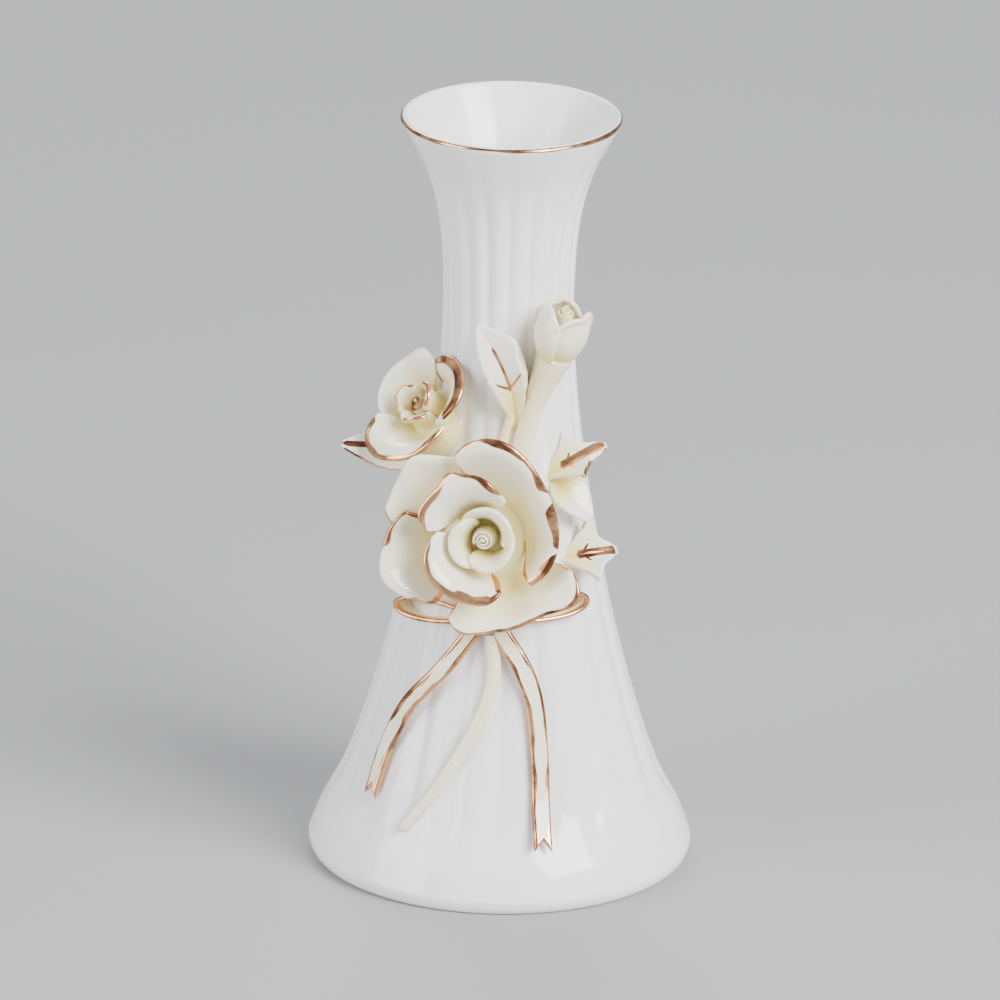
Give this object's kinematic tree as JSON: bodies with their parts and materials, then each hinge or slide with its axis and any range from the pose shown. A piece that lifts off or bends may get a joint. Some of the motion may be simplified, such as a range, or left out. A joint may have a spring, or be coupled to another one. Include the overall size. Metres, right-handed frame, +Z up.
{
  "type": "bud vase",
  "caption": "Slender fluted porcelain bud vase that flares at foot and mouth, with applied roses, buds, leaves and a ribbon bow on its front, edged in gold lustre.",
  "frame": {"origin": "centre of the foot, on the plane of the foot ring", "axes": "+Z up the vase's axis, -Y out through the flowers, +X to the right of someone facing them"},
  "size_m": [0.0672, 0.0672, 0.135],
  "materials": {
    "white_glaze": "glossy white glaze, cool in the shade",
    "cream_glaze": "glossy ivory glaze, its free edges painted with rose-gold lustre",
    "leaf_glaze": "glossy ivory glaze, its ribs painted with rose-gold lustre",
    "gold": "fired rose-gold lustre, mirror bright"
  },
  "bodies": {
    "root": {"closed_bud": "cream_glaze", "closed_bud_stem": "cream_glaze", "large_rose_base": "cream_glaze", "large_rose_core": "cream_glaze", "large_rose_inner_bottom": "cream_glaze", "large_rose_inner_left": "cream_glaze", "large_rose_inner_top": "cream_glaze", "large_rose_middle_bottom": "cream_glaze", "large_rose_middle_left": "cream_glaze", "large_rose_middle_right": "cream_glaze", "large_rose_outer_bottom": "cream_glaze", "large_rose_outer_left": "cream_glaze", "large_rose_outer_low": "cream_glaze", "leaf_centre": "leaf_glaze", "leaf_left": "leaf_glaze", "leaf_right_lower": "leaf_glaze", "leaf_right_middle": "leaf_glaze", "leaf_right_upper": "leaf_glaze", "ribbon_knot": "cream_glaze", "ribbon_loop_left": "cream_glaze", "ribbon_loop_right": "cream_glaze", "ribbon_tail_left": "cream_glaze", "ribbon_tail_right": "cream_glaze", "rim_gold_line": "gold", "rosebud_core": "cream_glaze", "rosebud_petal_back": "cream_glaze", "rosebud_petal_left": "cream_glaze", "rosebud_petal_right": "cream_glaze", "rosebud_stem": "cream_glaze", "small_rose_base": "cream_glaze", "small_rose_core": "cream_glaze", "small_rose_inner_bottom": "cream_glaze", "small_rose_inner_left": "cream_glaze", "small_rose_inner_top": "cream_glaze", "small_rose_outer_bottom": "cream_glaze", "small_rose_outer_left": "cream_glaze", "small_rose_outer_top": "cream_glaze", "stem_end": "cream_glaze", "vase_body": "white_glaze"}
  },
  "joints": []
}
